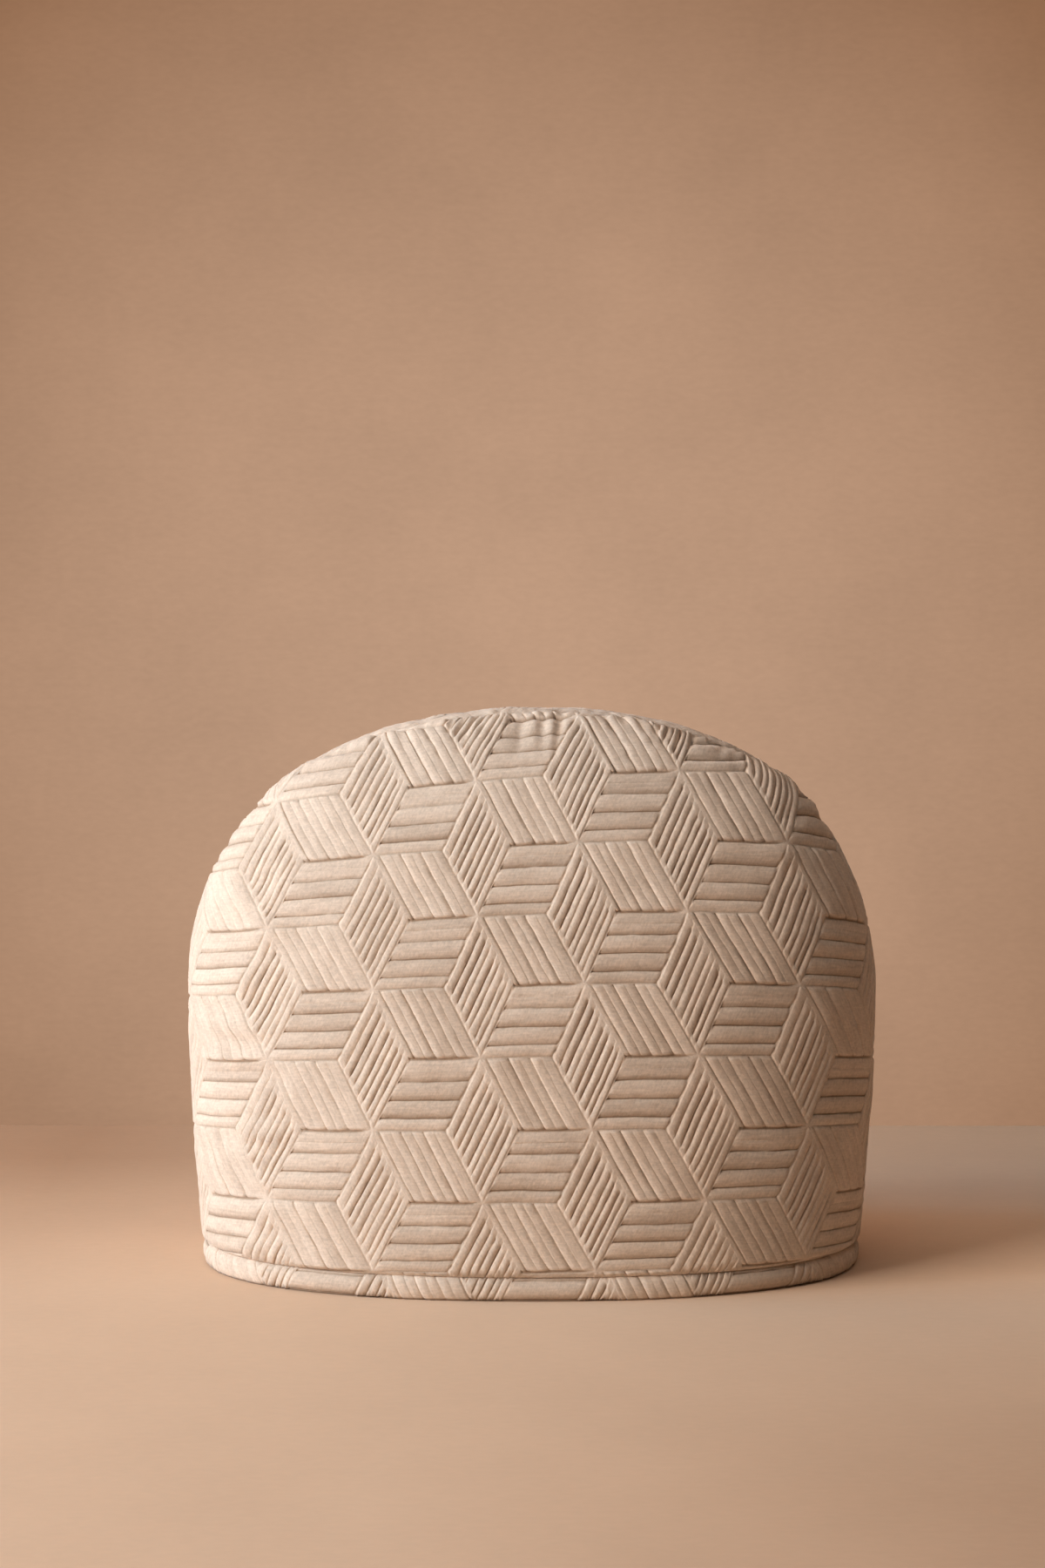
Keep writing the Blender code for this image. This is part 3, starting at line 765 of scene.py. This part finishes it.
# a closed, quilted panel, made facing the front and turned about for the back
def makePanel(name, look, facing, material):
    def placeOf(x, y):
        return laid(np.array([[x, y]]), look)[0]

    def keep(x, y):
        across, up = placeOf(x, y)
        reach = look["keepReach"]
        return upFoot - reach < up < upTop + reach and abs(across) < edgeAt(min(up - reach, upTop)) + reach

    def fine(x, y):
        across, up = placeOf(x, y)
        return up > upTop - look["fineTop"] or abs(across) > edgeAt(up) - look["fineSide"]

    points, faces, ribs = quiltSheet(range(-6, 8), range(-2, 6), keep, fine, look["seed"])
    flat = points[:, :2]
    pads = bell(starDistance(flat), quilt["padReach"])
    points[:, 2] += pads * np.maximum(quilt["padHeight"] - points[:, 2], 0)
    wobble = [quilt["wobble"] * softNoise(*flat.T, quilt["wobbleSize"], look["seed"] + i) for i in (1, 2)]
    points[:, :2] = laid(flat + np.stack(wobble, axis=1), look)
    sheet = trim((points, faces, ribs), points[:, 1] - upFoot)
    flat = sheet[0][:, :2]
    points, faces, ribs = trim(sheet, insideSeam(flat, onDome(*flat.T)[0], look, facing))
    flat, heights, tone = points[:, :2], points[:, 2], points[:, 3]
    bare, normal = onDome(*flat.T)
    stand = panelStand(flat, heights, bare, look, facing)
    cloth = dict(
        points=bare + normal * stand[:, None], faces=faces, cloth=flat[faces], rib=ribs,
        relief=reliefOf(heights), tone=tone,
    )
    lining, liningFaces, liningEdge, liningPlace = makeLining(len(points))
    rim = openEdge(faces)
    onHem = rim[flat[rim, 1] < upFoot + 2 * quilt["snap"]]
    corners = -flat[onHem, 0].min(), flat[onHem, 0].max()
    joint = closedLadder(rim, rimPlace(*flat[rim].T, *corners), liningEdge, liningPlace)
    return addPiece(name, cloth, lining, np.concatenate([liningFaces, joint]), material, facing)


# how far each point of the even pattern is from the nearest place where six blocks meet
def starDistance(flat):
    column, row = quilt["column"], quilt["row"]
    best = np.full(len(flat), 1.0)
    for shift in (0, 1):
        x = (flat[:, 0] + 0.5 * column - shift * column) / (2 * column)
        y = (flat[:, 1] + 0.5 * row - shift * row / 2) / row
        best = np.minimum(best, np.hypot((x - np.round(x)) * 2 * column, (y - np.round(y)) * row))
    return best


# the share of its full colour that cloth has at each height above the lines: less down in the grooves, where shade is
# painted in
def reliefOf(heights):
    return np.clip((heights - quilt["shadeFrom"]) / quilt["shadeOver"], 0, 1)


# a place along the rim that grows from 0 to 1 along the hem, then by the turn round the arch to 2 at its left foot
def rimPlace(across, up, left, right):
    middle = 110 * mm
    corner = np.arctan2(np.where(across > 0, right, left), upFoot - middle)
    turn = np.arctan2(across, up - middle) / corner
    return np.where(up < upFoot + 2 * quilt["snap"], (across + left) / (left + right), 1.5 - 0.5 * turn)


# the lining of the front half, an even grid from side to side and from hem to top, that closes in one point
def makeLining(offset, turns=48, rings=22):
    turn = np.linspace(-np.pi / 2, np.pi / 2, turns + 1)
    inset = dome["wall"]
    rise = np.sin(np.linspace(0, np.pi / 2, rings + 1))[:-1]
    z = dome["foot"] + (dome["height"] - inset - dome["foot"]) * rise
    x, y = unitSection(turn)
    wide, deep = halfWidthAt(z, inset)[:, None] * x[None], halfDepthAt(z, inset)[:, None] * y[None]
    grid = np.stack([wide, deep, np.repeat(z[:, None], turns + 1, axis=1)], axis=2)
    top = np.array([[0, 0, dome["height"] - inset]])
    points = np.concatenate([grid.reshape(-1, 3), top])
    index = offset + np.arange(len(points) - 1).reshape(rings, turns + 1)
    apex = offset + len(points) - 1
    cap = np.stack([index[-1, :-1], index[-1, 1:], np.full(turns, apex)], axis=1)
    faces = np.concatenate([gridFaces(index), cap])
    edge = np.concatenate([index[0], index[1:, -1], [apex], index[1:, 0]])
    climb = np.interp(z[1:], table["z"], table["up"])
    arch = rimPlace(edgeAt(climb), climb, edgeAt(upFoot), edgeAt(upFoot))
    return points, faces, edge, np.concatenate([np.linspace(0, 1, turns + 1), arch, [1.5], 3 - arch])


frontCloth = cottonMaterial("front_cotton", cotton)
frontPanel = makePanel("front_panel_quilted", front, 1, frontCloth)
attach(frontPanel, "root")
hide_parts("front_panel")
print("front panel made")

backCloth = cottonMaterial("back_cotton", cotton)
backPanel = makePanel("back_panel_quilted", back, -1, backCloth)
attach(backPanel, "root")
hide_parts("back_panel")
print("back panel made")

# the quilted roll at the hem
hem = dict(
    height=9.6 * mm,
    bulge=3.0 * mm,  # how far the roll's outer face bows out from its top and bottom
    outline=-0.3 * mm,  # how far the roll stands out from the dome before it is quilted
    inward=8.6 * mm,  # how far its back is inside the dome
    facePower=2.2,
    columns=16,  # columns of the pattern right round
    star=(-18.2 * mm, -11.5 * mm),  # where six blocks meet: round the hem from the middle, and up from the floor
    keepReach=34 * mm,
    ease=1.3 * mm,  # how soon the quilting sinks to nothing at the seam and on the floor
    soft=(0.15 * mm, 30 * mm),  # soft waves round the roll: depth and size
    shade=(0.2 * mm, 1.3 * mm),  # the heights between which the painted shadow where the roll tucks under fades out
    # how much the painted shadow there darkens the tone
    shadeTone=3,
    edge=1.2 * mm,  # how its back's edges are rounded off, and how far its hidden edge is behind the quilting's
    tuck=0.6 * mm,
    turns=240,
    seed=9100,
)


# tables for the hem: the way round the dome's foot, and the way up the roll's outer face, whose height and place
# out follow the sine and the cosine of a half turn, each to the power 2 / 2.2
def hemTables(look, steps=2400, faceSteps=200):
    turn = np.linspace(-np.pi, np.pi, steps + 1)
    side, face = unitSection(turn)
    middle = look["height"] / 2
    wide, deep = halfWidthAt(np.array(middle)), halfDepthAt(np.array(middle))
    x, y = side * wide, face * deep
    rise = np.linspace(-np.pi / 2, np.pi / 2, faceSteps)
    power = 2 / look["facePower"]
    z = middle * (1 + np.sign(np.sin(rise)) * np.abs(np.sin(rise)) ** power)
    out = look["outline"] - look["bulge"] * (1 - np.abs(np.cos(rise)) ** power)
    along, up = runAlong(x, y), runAlong(out, z)
    return dict(x=x, y=y, along=along - along[-1] / 2, round=along[-1], out=out, z=z, up=up, wide=wide, deep=deep)


# points at these distances round the hem, out from the dome's foot and up; the way out is the slope of
# |x / width|^p + |y / depth|^p
def aroundHem(tables, along, out, z):
    along = (along / tables["round"] + 0.5) % 1 * tables["round"] - tables["round"] / 2
    x, y = [np.interp(along, tables["along"], tables[k]) for k in ("x", "y")]
    power = dome["planPower"]
    slope = [np.sign(v) * np.abs(v / k) ** (power - 1) / k for v, k in ((x, tables["wide"]), (y, tables["deep"]))]
    length = np.hypot(*slope)
    return np.stack([x + out * slope[0] / length, y + out * slope[1] / length, z], axis=1)


# a closed roll: its outer face quilted, its back, top and underside in even rings
def makeHem(name, look, material):
    tables = hemTables(look)
    scale = tables["round"] / look["columns"] / quilt["column"]
    faceLength = tables["up"][-1]

    def climb(y):  # how far up the roll's outer face a place in the pattern is
        return look["star"][1] + (y + 0.5 * quilt["row"]) * scale - look["height"] / 2 + faceLength / 2

    def keep(x, y):
        return -look["keepReach"] < climb(y) < faceLength + look["keepReach"]

    points, faces, ribs = quiltSheet(range(look["columns"]), range(-2, 3), keep, lambda x, y: True, look["seed"])
    points[:, 0] = look["star"][0] + (points[:, 0] + 0.5 * quilt["column"]) * scale
    points[:, 1] = climb(points[:, 1])
    sheet = trim((points, faces, ribs), points[:, 1])
    points, faces, ribs = trim(sheet, faceLength - sheet[0][:, 1])
    corners = np.concatenate([points[faces][:, :, :2], ribs], axis=2)
    points[:, 0] %= tables["round"]
    points, faces, corners = weld(points, faces, corners)
    along, up, heights, tone = points.T
    angle = along / tables["round"] * 2 * np.pi
    circle = tables["round"] / (2 * np.pi) * np.stack([np.cos(angle), np.sin(angle)])
    depth, size = look["soft"]
    soft = depth * softNoise(*circle, size, look["seed"] + 1)
    fade = (1 - bell(up, look["ease"])) * (1 - bell(faceLength - up, look["ease"]))
    stand = (heights + soft) * fade
    out, z = [np.interp(up, tables["up"], tables[k]) for k in ("out", "z")]
    tilt = np.interp(up, tables["up"], np.arctan2(np.gradient(tables["z"]), np.gradient(tables["out"]))) - np.pi / 2
    shown = aroundHem(tables, along, out + stand * np.cos(tilt), np.maximum(z + stand * np.sin(tilt), 0))
    rings, ringFaces, low, high = hemBack(tables, look, len(points))
    even = np.arange(look["turns"]) / look["turns"] * 2
    rim = openEdge(faces)
    joints = []
    for ring, part in ((low, rim[up[rim] < faceLength / 2]), (high, rim[up[rim] > faceLength / 2])):
        joints.append(closedLadder(part, along[part] / tables["round"] * 2, ring, even))
    lit = smoothStep(shown[:, 2], *look["shade"])  # 0 right on the floor, where the roll tucks under and a shadow is painted in
    cloth = dict(
        points=shown, faces=faces, cloth=corners[:, :, :2], rib=corners[:, :, 2:],
        relief=reliefOf(heights) * lit, tone=tone - look["shadeTone"] * (1 - lit),
    )
    return addPiece(name, cloth, rings, np.concatenate([ringFaces, *joints]), material)


# the plain rings of the hem, from under its outer face, up its back and over its top
def hemBack(tables, look, offset):
    inner, tall, edge = look["inward"], look["height"], look["edge"]
    lip = look["outline"] - look["bulge"] - look["tuck"]
    section = [
        (lip, 0), (-inner + edge, 0), (-inner, edge), (-inner, tall / 2),
        (-inner, tall - edge), (-inner + edge, tall), (lip, tall),
    ]
    turns = look["turns"]
    along = np.arange(turns) / turns * tables["round"]
    points = np.concatenate([aroundHem(tables, along, np.full(turns, out), np.full(turns, z)) for out, z in section])
    index = offset + np.arange(len(points)).reshape(len(section), turns)
    return points, gridFaces(np.column_stack([index, index[:, 0]])), index[0], index[-1]


hemCloth = cottonMaterial("hem_cotton", cotton)
hemRoll = makeHem("hem_roll_quilted", hem, hemCloth)
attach(hemRoll, "root")
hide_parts("hem_binding")
print("hem made")

# the floor, light and camera
studio = dict(
    wall=(0.60, 0.40, 0.27, 1),  # the wall that throws light back on the cosy
    floorMiddle=(0.735, 0.52, 0.36, 1),
    # the floor's colour in its painted shade patches, and in its painted fill light on the right
    floorShade=(0.455, 0.270, 0.160, 1),
    floorFillLight=(0.90, 0.68, 0.50, 1),
    # the floor's painted shade patches, far back on the left, near on the right and far back on the right, and its
    # painted fill light on the bright right side: for each ramp of a patch, whether it is along x (0) or y (1), its
    # slope, its offset and the most it reaches
    shadePatches=(
        ((1, 3.6, 0.25, 1), (0, -4, 0, 0.95)),
        ((0, 3.2, 0.16, 1), (1, -3.5, -0.17, 1)),
        ((1, 10, -2, 1), (0, 2, 0, 0.3)),
    ),
    fillLightPatch=((0, 6, -0.6, 1), (1, 5, 0.5, 1), (1, -9, 1.9, 1)),
    roughness=0.95,
    wallAt=0.296,
    sweepFrom=1.2,  # where the painted backdrop begins to sweep up
    sweep=1.0,
    glowMiddle=(0.518, 0.321, 0.211, 1),  # the backdrop's glowing colours: a painted pool of light, which needs no lamp
    glowEdge=(0.185, 0.069, 0.019, 1),
    glowPlace=(-0.02, 0.24),
    glowReach=0.55,
    glowMost=0.7,
    eye=(-1.1885, 0.2858, 1.476),  # the glow is painted as seen from here: y and z, and a picture this far ahead
    eyeDepths=(0.3, 100),  # the nearest and farthest it is painted for
    mottle=1.5,
    backdropMottle=2.4,
    # the papers' clouds, streaks and grain: size in metres, stretch, detail and roughness, and then their shares
    mottleNoises=((0.16, (1, 1, 2), 4.0, 0.6), (0.03, (0.25, 1, 2.5), 3.0, 0.6), (0.003, (0.5, 1, 1), 2.0, 0.5)),
    mottleShares=(0.66, 0.1, 0.24),
    reach=5.0,
    # each light's name, place, size, power and colour
    lights=(
        ("key", (-2.5, -1.4, 1.35), 1.6, 98, (1, 0.895, 0.83)),
        ("side", (-2.8, -0.35, 1.0), 1.2, 55, (0.32, 0.68, 1)),
        ("top", (0.1, -0.3, 2.2), 1.5, 6.5, (1, 0.95, 0.9)),
    ),
    lightsAim=(0, 0, 0.1),
    fill=0.014,
    fillColour=(0.7, 0.8, 0.75, 1),
)


# a piece of the studio
def addStudioSheet(name, points, faces, material):
    mesh = bpy.data.meshes.new(name)
    mesh.from_pydata(points, [], faces)
    mesh.shade_smooth()
    mesh.materials.append(material)
    made = addObject(name, mesh)
    return made


# the points and faces of a sheet carried straight across from left to right along a profile of y and z
def carried(y, z):
    count = len(y)
    left = np.stack([np.full(count, -studio["reach"]), y, z], axis=1)
    return np.concatenate([left, left * [-1, 1, 1]]), [(i, i + count, i + count + 1, i + 1) for i in range(count - 1)]


# how much a studio surface is lightened or darkened by soft clouds, streaks and grain: about 0.9 to 1.1
def mottled(place, strength):
    cloud, streak, grain = [noiseOver(place, *n) * k for n, k in zip(studio["mottleNoises"], studio["mottleShares"])]
    return 0.9 + (((cloud + streak + grain).clamp(0, 1) - 0.5) * strength + 0.5).clamp(0, 1) * 0.2


# a patch on the floor: the product of its ramps, each a slope times a coordinate plus an offset, from 0 to its most
def patch(places, ramps):
    product = 1.0
    for side, slope, offset, most in ramps:
        product = (places[side] * slope + offset).clamp(0, most) * product
    return product


# the floor's paper, with shade painted in its edge patches and fill light painted on the right
def floorPaper(look):
    material, shader, start = newMaterial("studio_floor_paper", look["roughness"])
    place = start.node("ShaderNodeTexCoord", {}, {}, 3)
    places = [place.node("ShaderNodeSeparateXYZ", {}, {"Vector": place}, i) for i in range(2)]
    back, front, edge = [patch(places, ramps) for ramps in look["shadePatches"]]
    ground = (back + front + edge).clamp(0, 1).mixColour(look["floorMiddle"], look["floorShade"])
    ground = patch(places, look["fillLightPatch"]).mixColour(ground, look["floorFillLight"])
    plug(ground.scaled(mottled(place, look["mottle"])), shader, "Base Color")
    return material


# the backdrop's paper glows by itself in place of a lit wall: a painted pool of light, bright round one place and
# dark to the edges, painted as it would be seen from one fixed place
def backdropPaper(look):
    material, shader, start = newMaterial("studio_backdrop_paper", look["roughness"], specular=0)
    place = start.node("ShaderNodeTexCoord", {}, {}, 3)
    x, y, z = [place.node("ShaderNodeSeparateXYZ", {}, {"Vector": place}, i) for i in range(3)]
    eyeY, eyeZ, ahead = look["eye"]
    depth = (y - eyeY).clamp(*look["eyeDepths"]) / ahead
    across, up = x / depth, (z - eyeZ) / depth + eyeZ
    middle, height = look["glowPlace"]
    away = ((across - middle) * (across - middle) + (up - height) * (up - height)) / look["glowReach"] ** 2
    behind = (eyeY - y).clamp(0, 1)
    glow = (away + behind).clamp(0, look["glowMost"]).mixColour(look["glowMiddle"], look["glowEdge"])
    seen = across.node("ShaderNodeCombineXYZ", {}, {0: across, 1: up, 2: 0.0})
    shader.inputs["Base Color"].default_value = (0, 0, 0, 1)
    shader.inputs["Emission Strength"].default_value = 1
    plug(glow.scaled(mottled(seen, look["backdropMottle"])), shader, "Emission Color")
    return material


# the floor, the near wall that only throws light back, and a backdrop all round that is seen and lights nothing
def makeStudio(look):
    reach, far, start, sweep = look["reach"], look["wallAt"], look["sweepFrom"], look["sweep"]
    addStudioSheet("studio_floor", *carried([-reach, far], [0, 0]), floorPaper(look))
    wallMaterial, wallShader, _ = newMaterial("studio_wall_paint", look["roughness"])
    wallShader.inputs["Base Color"].default_value = look["wall"]
    wall = addStudioSheet("studio_wall", *carried([far, far], [0, reach]), wallMaterial)
    wall.visible_camera = False
    turn = np.linspace(0, np.pi / 2, 33)[1:]
    y = np.concatenate([[far, start], start + sweep * np.sin(turn), [start + sweep]])
    z = np.concatenate([[0, 0], sweep * (1 - np.cos(turn)), [reach]])
    side = np.array([(1, -1, 0), (1, 1, 0), (1, 1, 1), (1, -1, 1)]) * reach
    paper = backdropPaper(look)
    for name, points, faces in (
        ("studio_backdrop", *carried(y, z)),
        ("studio_front", *carried([-reach, -reach], [reach, 0])),
        ("studio_side", side * [-1, 1, 1], [(0, 1, 2, 3)]),
        ("studio_side", side, [(0, 1, 2, 3)]),
    ):
        sheet = addStudioSheet(name, points, faces, paper)
        sheet.visible_diffuse = sheet.visible_glossy = sheet.visible_shadow = False


makeStudio(studio)


# an area light that looks at the cosy
def addLight(name, place, size, power, colour):
    light = bpy.data.lights.new(name, "AREA")
    light.size, light.energy, light.color = size, power, colour
    made = addObject(name, light)
    made.location = place
    aim = np.array(studio["lightsAim"]) - place
    made.rotation_euler = (math.atan2(np.hypot(aim[0], aim[1]), -aim[2]), 0, math.atan2(-aim[0], aim[1]))


for light in studio["lights"]:
    addLight(*light)
world = bpy.data.worlds.new("studio")
scene.world = world
world.use_nodes = True
world.node_tree.nodes["Background"].inputs["Color"].default_value = studio["fillColour"]
world.node_tree.nodes["Background"].inputs["Strength"].default_value = studio["fill"]
scene.view_settings.view_transform = "Standard"

view = dict(
    target=(0, 0, 0.12),
    distance=1.2,
    elevation=math.radians(7.94),
    focalPixels=3138.4,
    imageSize=(1200, 1800),
    targetPixel=(609.4, 1128.5),
    sensor=36,
    clip=(0.01, 50),
)


# the camera stands on an arc round the target, then turns until the target lands on its pixel
def addCamera(look):
    camera = bpy.data.cameras.new("camera")
    wide, tall = look["imageSize"]
    camera.sensor_width = look["sensor"]
    camera.lens = camera.sensor_width * look["focalPixels"] / tall
    camera.clip_start, camera.clip_end = look["clip"]
    made = addObject("camera", camera)
    away = np.array([0, -math.cos(look["elevation"]), math.sin(look["elevation"])])
    made.location = np.array(look["target"]) + look["distance"] * away
    pitch = look["elevation"] - math.atan((look["targetPixel"][1] - tall / 2) / look["focalPixels"])
    turn = math.atan((look["targetPixel"][0] - wide / 2) / look["focalPixels"])
    made.rotation_euler = (math.pi / 2 - pitch, 0, turn)
    scene.camera = made


addCamera(view)
print("studio made")
